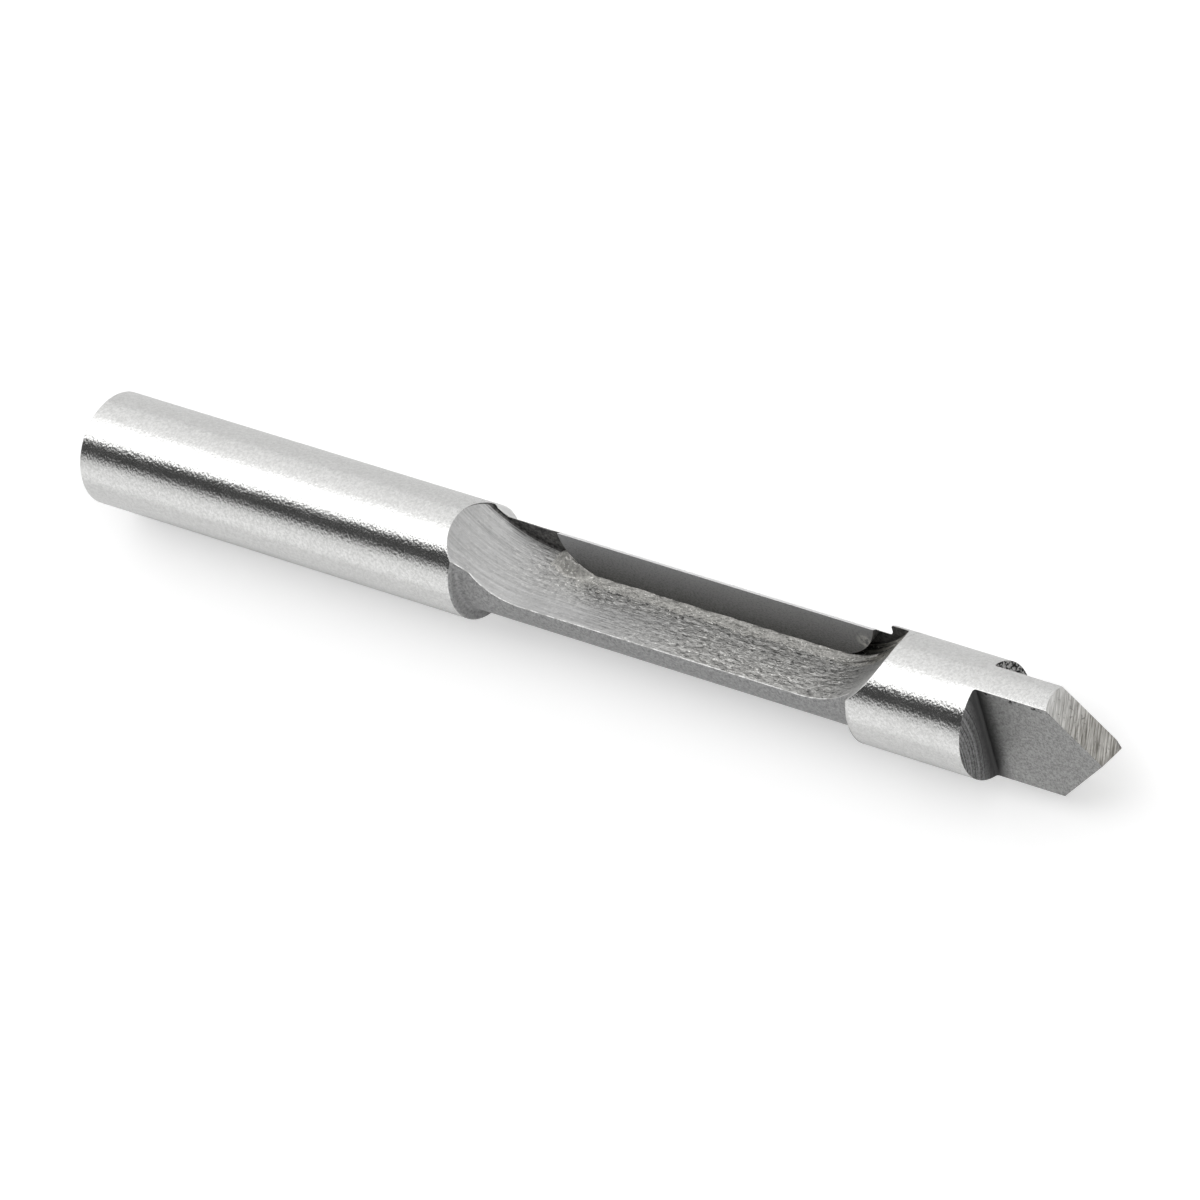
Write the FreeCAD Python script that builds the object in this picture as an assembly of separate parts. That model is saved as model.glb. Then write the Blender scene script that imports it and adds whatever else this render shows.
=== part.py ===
"""Panel pilot router bit: quarter-inch shank, one brazed cutter, plain pilot, drill point.

The bit is a steel bar with one carbide plate soldered into its flute.
It plunges through a panel with its point, and then its pilot band runs along
the frame below while the blade trims the panel flush.

X runs along the axis, from the shank's end face (X = 0) to the tip.
Z is up as the bit lies on a table: its heavy side is down, the flute opens upwards,
and the blade's cutting edge is on the +Y side.  All lengths are in millimetres.
"""

import FreeCAD
import Part
import math
import os

V = FreeCAD.Vector
AXIS = V(1, 0, 0)
ORIGIN = V(0, 0, 0)

# Lengths along the axis, one after another
shank_length = 26.0
neck_length = 26.05
pilot_length = 7.3
point_length = 7.325

# Diameters
shank_diameter = 6.35
pilot_diameter = 6.35
cutting_diameter = 6.35
neck_diameter = 5.16

# The neck is turned off centre, so that most steel stands behind the blade
neck_offset = 0.08
neck_offset_angle = 40.0
neck_corner_radius = 0.25

# Edge breaks
shank_chamfer = 0.12
shoulder_chamfer = 0.08

# The flute: a side-and-face cutter of this radius sinks in, travels along and lifts out.
# Its side leaves the flat wall, and its rim leaves the floor and both run-outs.
# The tilt is the floor's slope as the bit lies.
flute_tilt = -36.35
flute_cutter_radius = 6.35
flute_floor_height = 0.38
flute_wall_offset = 2.0
flute_lead_in = 4.32
flute_lead_out = 3.54

# The carbide plate, which stands on the floor against the wall
blade_thickness = 1.1
blade_start_gap = 5.1
blade_end_gap = 0.15
blade_corner_radius_shank = 2.7
blade_corner_radius_pilot = 3.5
blade_land_width = 0.38
blade_land_clearance = 21.0

# The silver solder that shows along the blade's foot
bead_width = 0.45
bead_height = 0.24
pool_width = 0.5
pool_height = 1.25
pool_reach = 0.5

# The drill point: two parallel flats and two relieved bevels
point_tilt = -38.2
point_thickness = 1.84
point_angle = 90.0
point_relief = 17.5
point_corner_radius = 0.15

# Stations and radii that follow from the sizes above
x_neck = shank_length
x_pilot = x_neck + neck_length
x_point = x_pilot + pilot_length
x_tip = x_point + point_length
r_shank = shank_diameter / 2.0
r_pilot = pilot_diameter / 2.0
r_cut = cutting_diameter / 2.0
r_neck = neck_diameter / 2.0
r_most = max(r_shank, r_pilot, r_cut)
outside = r_most + 2.0


def polygon(points):
    """Closed straight-sided wire."""
    return Part.makePolygon(list(points) + [points[0]])


def arc(start, middle, end):
    """Edge through three points."""
    return Part.Arc(start, middle, end).toShape()


def line(start, end):
    """Straight edge."""
    return Part.LineSegment(start, end).toShape()


def prism(edges, sweep):
    """Solid from a closed chain of edges, pushed along a vector."""
    return Part.Face(Part.Wire(edges)).extrude(sweep)


def turned(points, axis_y=0.0, axis_z=0.0):
    """Solid of revolution; points are (x, radius) pairs round an axis parallel to X."""
    corners = [V(x, axis_y, axis_z + r) for x, r in points]
    face = Part.Face(polygon(corners))
    return face.revolve(V(0, axis_y, axis_z), AXIS, 360)


def tilted(shape, degrees):
    """Turn a shape about the bit's axis."""
    shape.rotate(ORIGIN, AXIS, degrees)
    return shape


# The flute's own frame: Y points back into the wall, Z points up from the floor.
# Everything of the flute, blade and solder is made there and then turned by flute_tilt.
floor_z = flute_floor_height
wall_y = flute_wall_offset
face_y = wall_y - blade_thickness
floor_start = x_neck + flute_lead_in
floor_end = x_pilot - flute_lead_out
blade_start = x_neck + blade_start_gap
blade_end = x_pilot - blade_end_gap
blade_length = blade_end - blade_start


def shank():
    """Plain ground cylinder with a chamfered end."""
    return turned([
        (0, 0),
        (0, r_shank - shank_chamfer),
        (shank_chamfer, r_shank),
        (x_neck - shoulder_chamfer, r_shank),
        (x_neck, r_shank - shoulder_chamfer),
        (x_neck, 0),
    ])


def pilot():
    """Plain band that rides on the pattern, and the blank of the point."""
    return turned([
        (x_pilot, 0),
        (x_pilot, r_pilot - shoulder_chamfer),
        (x_pilot + shoulder_chamfer, r_pilot),
        (x_tip + 1.0, r_pilot),
        (x_tip + 1.0, 0),
    ])


def neck():
    """Relieved stretch between both bands, with a small radius in each corner."""
    direction = math.radians(neck_offset_angle + flute_tilt)
    y = neck_offset * math.cos(direction)
    z = neck_offset * math.sin(direction)
    c = neck_corner_radius
    bend = c * (1.0 - math.sqrt(0.5))
    left_top = V(x_neck, y, z + r_neck + c)
    left_mid = V(x_neck + bend, y, z + r_neck + bend)
    left_low = V(x_neck + c, y, z + r_neck)
    right_low = V(x_pilot - c, y, z + r_neck)
    right_mid = V(x_pilot - bend, y, z + r_neck + bend)
    right_top = V(x_pilot, y, z + r_neck + c)
    right_axis = V(x_pilot, y, z)
    left_axis = V(x_neck, y, z)
    outline = Part.Wire([
        arc(left_top, left_mid, left_low),
        line(left_low, right_low),
        arc(right_low, right_mid, right_top),
        line(right_top, right_axis),
        line(right_axis, left_axis),
        line(left_axis, left_top),
    ])
    return Part.Face(outline).revolve(left_axis, AXIS, 360)


def flute_space():
    """All that the cutter sweeps away, in the flute's frame."""
    r = flute_cutter_radius
    top = floor_z + r
    front = -outside

    def rim(x_centre, degrees):
        angle = math.radians(degrees)
        return V(x_centre + r * math.sin(angle), front, top - r * math.cos(angle))

    left_high = rim(floor_start, -90)
    left_mid = rim(floor_start, -45)
    left_low = rim(floor_start, 0)
    right_low = rim(floor_end, 0)
    right_mid = rim(floor_end, 45)
    right_high = rim(floor_end, 90)
    edges = [
        arc(left_high, left_mid, left_low),
        line(left_low, right_low),
        arc(right_low, right_mid, right_high),
        line(right_high, left_high),
    ]
    return prism(edges, V(0, wall_y - front, 0))


def blade_blank():
    """Flat plate with two rounded lower corners, before its top is ground."""
    left_r = blade_corner_radius_shank
    right_r = blade_corner_radius_pilot
    bend = 1.0 - math.sqrt(0.5)
    top = r_cut + 1.0
    p1 = V(blade_start, face_y, top)
    p2 = V(blade_start, face_y, floor_z + left_r)
    p3 = V(blade_start + left_r * bend, face_y, floor_z + left_r * bend)
    p4 = V(blade_start + left_r, face_y, floor_z)
    p5 = V(blade_end - right_r, face_y, floor_z)
    p6 = V(blade_end - right_r * bend, face_y, floor_z + right_r * bend)
    p7 = V(blade_end, face_y, floor_z + right_r)
    p8 = V(blade_end, face_y, top)
    edges = [
        line(p1, p2),
        arc(p2, p3, p4),
        line(p4, p5),
        arc(p5, p6, p7),
        line(p7, p8),
        line(p8, p1),
    ]
    return prism(edges, V(0, blade_thickness, 0))


def blade_grind():
    """Space kept under the grinder: narrow land, then a steep back down to the neck."""
    edge_z = math.sqrt(r_cut ** 2 - face_y ** 2)
    slope = math.radians(blade_land_clearance) + math.atan2(face_y, edge_z)
    land_y = face_y + blade_land_width * math.cos(slope)
    land_z = edge_z - blade_land_width * math.sin(slope)
    centre = math.radians(neck_offset_angle)
    off_y = neck_offset * math.cos(centre)
    off_z = neck_offset * math.sin(centre)
    back_z = off_z + math.sqrt(r_neck ** 2 - (wall_y - off_y) ** 2)
    x = blade_start - 1.0
    low = floor_z - 1.0
    outline = polygon([
        V(x, face_y, low),
        V(x, wall_y, low),
        V(x, wall_y, back_z),
        V(x, land_y, land_z),
        V(x, face_y, edge_z),
    ])
    return Part.Face(outline).extrude(V(blade_length + 2.0, 0, 0))


def solder(space, plate):
    """Concave bead along the blade's foot, and the pool under its shank-side corner."""
    start = blade_start - pool_reach
    foot_z = floor_z - 0.05
    hollow = 0.3
    a = V(blade_start, face_y, foot_z)
    b = V(blade_start, face_y, floor_z + bead_height)
    mid = V(blade_start, face_y - bead_width * hollow, floor_z + bead_height * hollow)
    c = V(blade_start, face_y - bead_width, floor_z)
    d = V(blade_start, face_y - bead_width, foot_z)
    bead = prism([line(a, b), arc(b, mid, c), line(c, d), line(d, a)], V(blade_length, 0, 0))

    pool_top = floor_z + pool_height
    pool_end = blade_start + blade_corner_radius_shank
    front = face_y - pool_width
    outline = polygon([
        V(start, front, foot_z),
        V(blade_start + 0.2, front, pool_top),
        V(blade_start + 1.1, front, floor_z + 0.55 * pool_height),
        V(pool_end, front, floor_z + bead_height),
        V(pool_end, front, foot_z),
    ])
    pool = Part.Face(outline).extrude(V(0, wall_y - front, 0))
    ramp = polygon([
        V(start - 1.0, front, floor_z),
        V(start - 1.0, face_y, pool_top),
        V(start - 1.0, front, pool_top + 1.0),
        V(start - 1.0, front - 1.0, pool_top),
    ])
    pool = pool.cut(Part.Face(ramp).extrude(V(pool_end - start + 2.0, 0, 0)))
    return bead.fuse(pool).cut(plate).common(space).removeSplitter()


def point_flat():
    """Space beside one flat of the point, with a radius where it meets the pilot."""
    half = point_thickness / 2.0
    block = Part.makeBox(
        point_length + 3.0, outside, 2.0 * outside,
        V(x_point, half, -outside),
    )
    corner = [
        e for e in block.Edges
        if abs(e.CenterOfMass.x - x_point) < 1e-6 and abs(e.CenterOfMass.y - half) < 1e-6
    ]
    return block.makeFillet(point_corner_radius, corner)


def point_bevel():
    """Space above one bevel, sheared along X to give the cutting edge its relief."""
    half = point_thickness / 2.0
    lean = math.tan(math.radians(point_relief))
    run = 1.0 / math.tan(math.radians(point_angle / 2.0))
    apex = x_tip + half * lean
    x = apex + (outside - half) * lean
    beyond = x + outside * (run + lean)
    edges = polygon([
        V(x - outside * run, -outside, outside),
        V(x + r_pilot * run, -outside, -r_pilot),
        V(beyond, -outside, -r_pilot),
        V(beyond, -outside, outside),
    ])
    return Part.Face(edges).extrude(V(-2.0 * outside * lean, 2.0 * outside, 0))


def steel_body():
    """Shank, neck, pilot and point: one bar, turned and then milled."""
    bar = shank().fuse([neck(), pilot()]).removeSplitter()
    bar = bar.cut(tilted(flute_space(), flute_tilt))
    for turn in (0, 180):
        bar = bar.cut(tilted(point_flat(), point_tilt + turn))
    for turn in (0, 180):
        bar = bar.cut(tilted(point_bevel(), point_tilt + turn))
    return bar


space = flute_space()
plate = blade_blank().common(blade_grind()).common(space)
filler = solder(space, plate)

parts = {
    "steel_body": steel_body(),
    "carbide_blade": tilted(plate, flute_tilt),
    "braze_fillet": tilted(filler, flute_tilt),
}

os.makedirs("parts", exist_ok=True)
for name, shape in parts.items():
    if shape.ShapeType != "Solid" and len(shape.Solids) == 1:
        shape = shape.Solids[0]
    shape.exportStep("parts/" + name + ".step")
    box = shape.BoundBox
    print(
        name, len(shape.Solids), "solid", "valid", shape.isValid(),
        "volume %.3f" % shape.Volume,
        "x %.2f %.2f" % (box.XMin, box.XMax),
        "y %.2f %.2f" % (box.YMin, box.YMax),
        "z %.2f %.2f" % (box.ZMin, box.ZMax),
    )
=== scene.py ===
# %% [markdown]
# # A slim router bit, made in Blender
# The real bit is a steel bar, turned and milled, with one carbide plate soldered into its flute.
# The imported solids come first, because every visible piece takes its place and size from them.

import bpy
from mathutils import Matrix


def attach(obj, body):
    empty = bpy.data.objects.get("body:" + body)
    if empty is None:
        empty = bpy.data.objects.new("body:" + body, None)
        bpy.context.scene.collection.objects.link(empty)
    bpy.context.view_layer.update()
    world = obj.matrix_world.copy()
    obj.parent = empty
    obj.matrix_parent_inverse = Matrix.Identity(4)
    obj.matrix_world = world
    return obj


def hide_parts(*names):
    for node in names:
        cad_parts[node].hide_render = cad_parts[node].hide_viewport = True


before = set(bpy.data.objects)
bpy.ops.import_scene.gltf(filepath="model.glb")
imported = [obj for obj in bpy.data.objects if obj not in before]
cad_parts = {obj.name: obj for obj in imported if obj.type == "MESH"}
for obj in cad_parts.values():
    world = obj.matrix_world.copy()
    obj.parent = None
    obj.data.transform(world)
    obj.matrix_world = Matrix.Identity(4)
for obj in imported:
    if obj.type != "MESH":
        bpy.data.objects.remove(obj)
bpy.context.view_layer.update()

# %% [markdown]
# ## Sizes
# They are the sizes of the solids, in millimetres, and each is written once.
# One value, MM, turns millimetres into Blender's metres, so the numbers stay readable.

# %% Name the sizes
import math

import bmesh
import bpy
from mathutils import Matrix, Vector
from mathutils.noise import fractal as fractal_noise

MM = 0.001

shank_end, pilot_start, point_start, tip = 26.0, 52.05, 59.35, 66.675
band_radius = 3.175
neck_radius, neck_offset, neck_offset_angle, neck_corner = 2.58, 0.08, 40.0, 0.25
end_chamfer, shoulder_chamfer = 0.12, 0.08

flute_tilt = -36.35
cutter_radius, floor_height, wall_offset = 6.35, 0.38, 2.0
floor_from, floor_to = 30.32, 48.51
rim_height = floor_height + cutter_radius

plate_thickness, plate_from, plate_to = 1.1, 31.1, 51.9
plate_corner_shank, plate_corner_pilot = 2.7, 3.5
land_width, land_clearance = 0.38, 21.0
face_offset = wall_offset - plate_thickness

point_tilt = -38.2
point_thickness, point_angle, point_relief, point_corner = 1.84, 90.0, 17.5, 0.15

to_flute = Matrix.Rotation(math.radians(flute_tilt), 4, "X")
to_point = Matrix.Rotation(math.radians(point_tilt), 4, "X")
print("bit:", tip, "mm long, shank", 2 * band_radius, "mm across")

# %% [markdown]
# ## Camera
# The photograph is taken with a long lens from about half a metre, down the bit from its tip.
# The bit lies on its heavy side here, so the camera rolls with it and still sees the same side.

# %% Place the camera
camera_data = bpy.data.cameras.new("camera")
camera_data.lens, camera_data.sensor_width = 268.73, 36.0
camera_data.clip_start, camera_data.clip_end = 0.01, 20.0
camera = bpy.data.objects.new("camera", camera_data)
bpy.context.scene.collection.objects.link(camera)
bpy.context.scene.camera = camera

look = Vector((-0.563891, 0.015793, -0.825698)).normalized()
up = Vector((-0.245496, 0.951415, 0.185853)).normalized()
right = look.cross(up).normalized()
up = right.cross(look)
camera.matrix_world = Matrix.Translation((0.300484, -0.007597, 0.390610)) @ Matrix(
    (right, up, -look)
).transposed().to_4x4()
print("camera at", tuple(round(v, 4) for v in camera.location))

# %% [markdown]
# ## Studio
# Polished steel shows its surroundings more than its own colour.
# The photograph has a bright box of light along the bit, a narrow dark gap beside it, and pale paper
# all round.  A world shader can be bright or dark by direction, so a ramp round the bit's axis gives
# the same bands on the shank, with no lamp to hide.

# %% Build the world
def new_node(tree, kind, **values):
    """Adds a shader node, and sets its properties and its unlinked inputs by name."""
    node = tree.nodes.new(kind)
    for name, value in values.items():
        if hasattr(node, name):
            setattr(node, name, value)
        else:
            node.inputs[name.replace("_", " ")].default_value = value
    return node


def set_ramp(node, stops):
    """Fills a colour ramp with (position, grey) pairs."""
    ramp = node.color_ramp
    while len(ramp.elements) > 1:
        ramp.elements.remove(ramp.elements[-1])
    for index, (position, grey) in enumerate(stops):
        element = ramp.elements[0] if index == 0 else ramp.elements.new(position)
        element.position = position
        element.color = (grey, grey, grey, 1.0)


# Angle round the bit's axis, from +Y over the top to -Y, and the brightness seen there
studio_bands = [
    (0, 0.86), (10, 0.88), (25, 0.95), (40, 1.0), (48, 1.25), (56, 1.7), (88, 1.7),
    (94, 0.3), (98, 0.05), (120, 0.05), (126, 0.25), (134, 0.65), (146, 0.86),
    (165, 0.94), (180, 0.94),
]
brightest = max(value for angle, value in studio_bands)

world = bpy.data.worlds.new("studio")
world.use_nodes = True
bpy.context.scene.world = world
sky = world.node_tree
sky.nodes.clear()
direction = new_node(sky, "ShaderNodeTexCoord")
axes = new_node(sky, "ShaderNodeSeparateXYZ")
turn = new_node(sky, "ShaderNodeMath", operation="ARCTAN2")
share = new_node(sky, "ShaderNodeMapRange", From_Max=math.pi)
bands = new_node(sky, "ShaderNodeValToRGB")
set_ramp(bands, [(angle / 180.0, value / brightest) for angle, value in studio_bands])
studio_light = new_node(sky, "ShaderNodeBackground", Strength=brightest)
paper_white = new_node(sky, "ShaderNodeBackground", Strength=1.0)
ray = new_node(sky, "ShaderNodeLightPath")
choose = new_node(sky, "ShaderNodeMixShader")
out = new_node(sky, "ShaderNodeOutputWorld")
sky.links.new(direction.outputs["Generated"], axes.inputs[0])
sky.links.new(axes.outputs["Z"], turn.inputs[0])
sky.links.new(axes.outputs["Y"], turn.inputs[1])
sky.links.new(turn.outputs[0], share.inputs["Value"])
sky.links.new(share.outputs[0], bands.inputs["Fac"])
sky.links.new(bands.outputs["Color"], studio_light.inputs["Color"])
sky.links.new(ray.outputs["Is Camera Ray"], choose.inputs[0])
sky.links.new(studio_light.outputs[0], choose.inputs[1])
sky.links.new(paper_white.outputs[0], choose.inputs[2])
sky.links.new(choose.outputs[0], out.inputs["Surface"])
bpy.context.scene.view_settings.view_transform = "Standard"
print("studio:", len(studio_bands), "stops round the bit, brightest", brightest)

# %% [markdown]
# The paper under the bit is a plain pale sheet.
# It glows a little for the camera, so that it turns white and still keeps the bit's soft shadow, and
# less for mirror images, where it meets the studio behind it without a seam.

# %% Lay the paper
def grid_object(name, verts, faces):
    """Makes a mesh object from vertices in millimetres."""
    mesh = bpy.data.meshes.new(name)
    mesh.from_pydata([Vector(v) * MM for v in verts], [], faces)
    mesh.validate()
    made = bpy.data.objects.new(name, mesh)
    bpy.context.scene.collection.objects.link(made)
    return made


paper_half = 1500.0
paper_level = -band_radius
paper = grid_object("paper", [
    (-paper_half, -paper_half, paper_level), (paper_half, -paper_half, paper_level),
    (paper_half, paper_half, paper_level), (-paper_half, paper_half, paper_level),
], [(0, 1, 2, 3)])
paper_material = bpy.data.materials.new("pale_paper")
paper_material.use_nodes = True
tree = paper_material.node_tree
tree.nodes.clear()
camera_glow, mirror_glow = 0.36, 0.01
matt = new_node(tree, "ShaderNodeBsdfDiffuse", Color=(0.8, 0.8, 0.8, 1.0))
glow = new_node(tree, "ShaderNodeEmission", Color=(1.0, 1.0, 1.0, 1.0))
both = new_node(tree, "ShaderNodeAddShader")
ray = new_node(tree, "ShaderNodeLightPath")
for_camera = new_node(tree, "ShaderNodeMath", operation="MULTIPLY")
for_mirror = new_node(tree, "ShaderNodeMath", operation="MULTIPLY")
strength = new_node(tree, "ShaderNodeMath", operation="ADD")
out = new_node(tree, "ShaderNodeOutputMaterial")
for part, kind, amount in (
    (for_camera, "Is Camera Ray", camera_glow), (for_mirror, "Is Glossy Ray", mirror_glow),
):
    tree.links.new(ray.outputs[kind], part.inputs[0])
    part.inputs[1].default_value = amount
tree.links.new(for_camera.outputs[0], strength.inputs[0])
tree.links.new(for_mirror.outputs[0], strength.inputs[1])
tree.links.new(strength.outputs[0], glow.inputs["Strength"])
tree.links.new(matt.outputs[0], both.inputs[0])
tree.links.new(glow.outputs[0], both.inputs[1])
tree.links.new(both.outputs[0], out.inputs["Surface"])
paper.data.materials.append(paper_material)
print("paper:", 2 * paper_half * MM, "m square, under the bit at", paper_level, "mm")

# %% [markdown]
# ## Finishes
# Each machine leaves its own marks, so the bar gets one finish for each step it went through.
# They all start from the same metal shader and differ in tone, roughness and the pattern of the marks.
# Patterns read the object's own coordinates, scaled to millimetres and turned to follow the cut.

# %% Start a metal
def metal(name, tone, roughness, metallic=1.0):
    """A metal with its shader and a millimetre coordinate; returns material, tree, shader, coordinate."""
    made = bpy.data.materials.new(name)
    made.use_nodes = True
    tree = made.node_tree
    shader = tree.nodes["Principled BSDF"]
    shader.inputs["Base Color"].default_value = (*tone, 1.0)
    shader.inputs["Metallic"].default_value = metallic
    shader.inputs["Roughness"].default_value = roughness
    place = new_node(tree, "ShaderNodeTexCoord")
    return made, tree, shader, place.outputs["Object"]


def turned_to(tree, place, degrees=0, stretch=(1, 1, 1)):
    """Scales object coordinates to millimetres, turns them about the axis and stretches them."""
    turn = new_node(tree, "ShaderNodeMapping", vector_type="POINT")
    turn.inputs["Rotation"].default_value = (math.radians(-degrees), 0.0, 0.0)
    tree.links.new(place, turn.inputs["Vector"])
    size = new_node(tree, "ShaderNodeMapping", vector_type="POINT")
    size.inputs["Scale"].default_value = tuple(s / MM for s in stretch)
    tree.links.new(turn.outputs[0], size.inputs["Vector"])
    return size.outputs[0]


def split_place(tree, place, degrees=0):
    """The X, Y and Z of a place in millimetres, turned about the axis."""
    made = new_node(tree, "ShaderNodeSeparateXYZ")
    tree.links.new(turned_to(tree, place, degrees), made.inputs[0])
    return made.outputs


def noise(tree, vector, scale, detail=2.0, roughness=0.5):
    """Noise on a coordinate."""
    made = new_node(tree, "ShaderNodeTexNoise", Scale=scale, Detail=detail, Roughness=roughness)
    tree.links.new(vector, made.inputs["Vector"])
    return made.outputs["Fac"]


def levels(tree, value, low, high, to_low=0.0, to_high=1.0):
    """Remaps a value and holds it between its ends."""
    made = new_node(tree, "ShaderNodeMapRange")
    for name, number in (("From Min", low), ("From Max", high), ("To Min", to_low), ("To Max", to_high)):
        made.inputs[name].default_value = number
    tree.links.new(value, made.inputs["Value"])
    return made.outputs[0]


def calculate(tree, operation, first, second):
    """One math node; either side may be a number."""
    made = new_node(tree, "ShaderNodeMath", operation=operation)
    for socket, value in zip(made.inputs, (first, second)):
        if isinstance(value, (int, float)):
            socket.default_value = value
        else:
            tree.links.new(value, socket)
    return made.outputs[0]


def blend_colour(tree, share, first, second):
    """Mixes two colours by a share; either side may be a plain colour or a grey."""
    made = new_node(tree, "ShaderNodeMix", data_type="RGBA")
    tree.links.new(share, made.inputs[0])
    for socket, value in ((made.inputs[6], first), (made.inputs[7], second)):
        if isinstance(value, float):
            value = (value, value, value)
        if isinstance(value, tuple):
            socket.default_value = (*value, 1.0)
        else:
            tree.links.new(value, socket)
    return made.outputs[2]


def relief(tree, shader, height, depth_mm):
    """Bump from a height, with its depth in millimetres."""
    made = new_node(tree, "ShaderNodeBump", Distance=depth_mm * MM, Strength=1.0)
    tree.links.new(height, made.inputs["Height"])
    tree.links.new(made.outputs[0], shader.inputs["Normal"])


def report_finish(made):
    """Prints the name of a finish and how many nodes it takes."""
    print("finish:", made.name, "in", len(made.node_tree.nodes), "nodes")


# %% [markdown]
# **Ground steel** covers the shank and the pilot band.  A grinding wheel leaves a fine, even grain.
# It hardly shows where the surroundings are even, and breaks up the edges of the dark reflection
# into specks.

# %% Ground steel
ground_steel, tree, shader, place = metal("ground_steel", (0.76, 0.76, 0.75), 0.1)
fine = noise(tree, turned_to(tree, place, 0, (1.2, 0.8, 0.8)), 8.0, 1.0, 0.5)
specks = noise(tree, turned_to(tree, place), 5.5, 2.0, 0.8)
cloud = noise(tree, turned_to(tree, place), 0.8, 2.0)
relief(tree, shader, fine, 0.016)
tree.links.new(levels(tree, cloud, 0.3, 0.7, 0.15, 0.20), shader.inputs["Roughness"])
tree.links.new(
    blend_colour(tree, levels(tree, specks, 0.35, 0.65), (0.68, 0.68, 0.67), (0.84, 0.84, 0.83)),
    shader.inputs["Base Color"],
)
report_finish(ground_steel)

# %% [markdown]
# **Turned steel** is the neck, left as it came off the lathe and dulled by the brazing heat.
# ** Worn edge** is bare metal along the front edge of the flute, worn and burnished, and painted brighter still: a painted highlight.

# %% Turned steel and the worn edge with its painted highlight
turned_steel, tree, shader, place = metal("turned_steel", (0.38, 0.38, 0.38), 0.65, 0.6)
fine = noise(tree, turned_to(tree, place), 6.0, 3.0, 0.8)
relief(tree, shader, fine, 0.012)
tone = blend_colour(tree, levels(tree, fine, 0.35, 0.65), 0.25, 0.48)
where = split_place(tree, place)
# Painted light: the upper side of the shank's shoulder is painted near white, where it faces the light.
far_shoulder_painted_light = calculate(
    tree, "MULTIPLY", levels(tree, where["X"], shank_end + 0.3, shank_end + 0.05),
    levels(tree, where["Y"], 1.6, 2.2),
)
tone = blend_colour(tree, far_shoulder_painted_light, tone, (0.85, 0.85, 0.84))
tree.links.new(tone, shader.inputs["Base Color"])
report_finish(turned_steel)

# Worn metal with a painted highlight: the edge's colour is bright and flickers with the glint noise.
worn_edge_highlight, tree, shader, place = metal("worn_edge_highlight", (0.85, 0.85, 0.84), 0.4)
glint = noise(tree, turned_to(tree, place, 0, (2.5, 1, 1)), 1.0, 3.0, 0.7)
tree.links.new(
    blend_colour(tree, levels(tree, glint, 0.38, 0.6), (0.45, 0.45, 0.44), (0.95, 0.95, 0.94)),
    shader.inputs["Base Color"],
)
report_finish(worn_edge_highlight)

# %% [markdown]
# ** Milled steel** is the flute's floor. The cutter's teeth drag long streaks along it, which climb
# both run-outs because they keep their distance from the wall.  It is smooth and light by the shank,
# and coarse with pits towards the plate and the pilot, where painted shade darkens the pits and painted
# glints brighten specks.

# %% Milled steel: its marks
milled_steel, tree, shader, place = metal("milled_steel", (0.45, 0.45, 0.45), 0.45)
streaks = noise(tree, turned_to(tree, place, flute_tilt, (0.25, 8.0, 0.25)), 1.0, 4.0, 0.6)
broad = noise(tree, turned_to(tree, place, flute_tilt, (0.15, 1.2, 0.15)), 1.0, 2.0, 0.5)
grain = noise(tree, turned_to(tree, place, flute_tilt, (3.6, 7.0, 3.6)), 1.0, 3.0, 0.7)
specks = noise(tree, turned_to(tree, place, flute_tilt, (3.8, 7.0, 3.8)), 1.0, 2.0, 0.7)
pits = noise(tree, turned_to(tree, place, flute_tilt, (2.4, 5.5, 2.4)), 1.0, 3.0, 0.7)
where = split_place(tree, place, flute_tilt)
along, across = where["X"], where["Y"]
towards_wall = levels(tree, across, -1.5, 0.6)
towards_pilot = levels(tree, along, 34.0, 42.0)
past_scoop = levels(tree, along, 27.5, 33.0)
before_end = calculate(
    tree, "MAXIMUM", levels(tree, along, 52.8, 50.2), levels(tree, across, -0.6, 0.6),
)
rough_part = calculate(
    tree, "MULTIPLY", calculate(tree, "MULTIPLY", past_scoop, before_end),
    calculate(tree, "MAXIMUM", towards_wall, calculate(tree, "MULTIPLY", towards_pilot, 0.75)),
)
rough_part = calculate(tree, "ADD", calculate(tree, "MULTIPLY", rough_part, 0.85), 0.15)
height = calculate(
    tree, "ADD", calculate(tree, "MULTIPLY", streaks, 0.3), calculate(tree, "MULTIPLY", grain, rough_part),
)
relief(tree, shader, height, 0.06)
print("marks of the floor:", len(tree.nodes), "nodes so far")

# %% [markdown]
# The tones of the floor go on in layers, each with a share of its own: streaks and scratches, the
# bright end by the pilot, coarse grain, flux, painted glints, painted shade in the pits, and last painted
# shade along the foot of the wall.

# %% Milled steel: its tones
tone = blend_colour(tree, levels(tree, streaks, 0.3, 0.7), 0.41, 0.61)
long_marks = noise(tree, turned_to(tree, place, flute_tilt, (0.3, 7, 0.3)), 1.0, 2.0, 0.6)
scratches = calculate(
    tree, "MULTIPLY", levels(tree, across, 0.3, 1.2), levels(tree, long_marks, 0.55, 0.64),
)
tone = blend_colour(tree, calculate(tree, "MULTIPLY", scratches, 0.7), tone, 0.13)
tone = blend_colour(tree, levels(tree, along, 50.5, 53.5), tone, (0.85, 0.85, 0.84))
coarse = blend_colour(tree, levels(tree, grain, 0.33, 0.67), (0.18, 0.175, 0.165), (0.66, 0.655, 0.63))
tone = blend_colour(tree, rough_part, tone, coarse)
flux = calculate(tree, "MULTIPLY", levels(tree, across, 0.0, 0.3), levels(tree, along, 49.0, 51.5))
flux_lines = blend_colour(
    tree, levels(tree, streaks, 0.42, 0.56), (0.10, 0.09, 0.08), (0.80, 0.77, 0.70),
)
tone = blend_colour(tree, calculate(tree, "MULTIPLY", flux, 0.7), tone, flux_lines)
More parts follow.
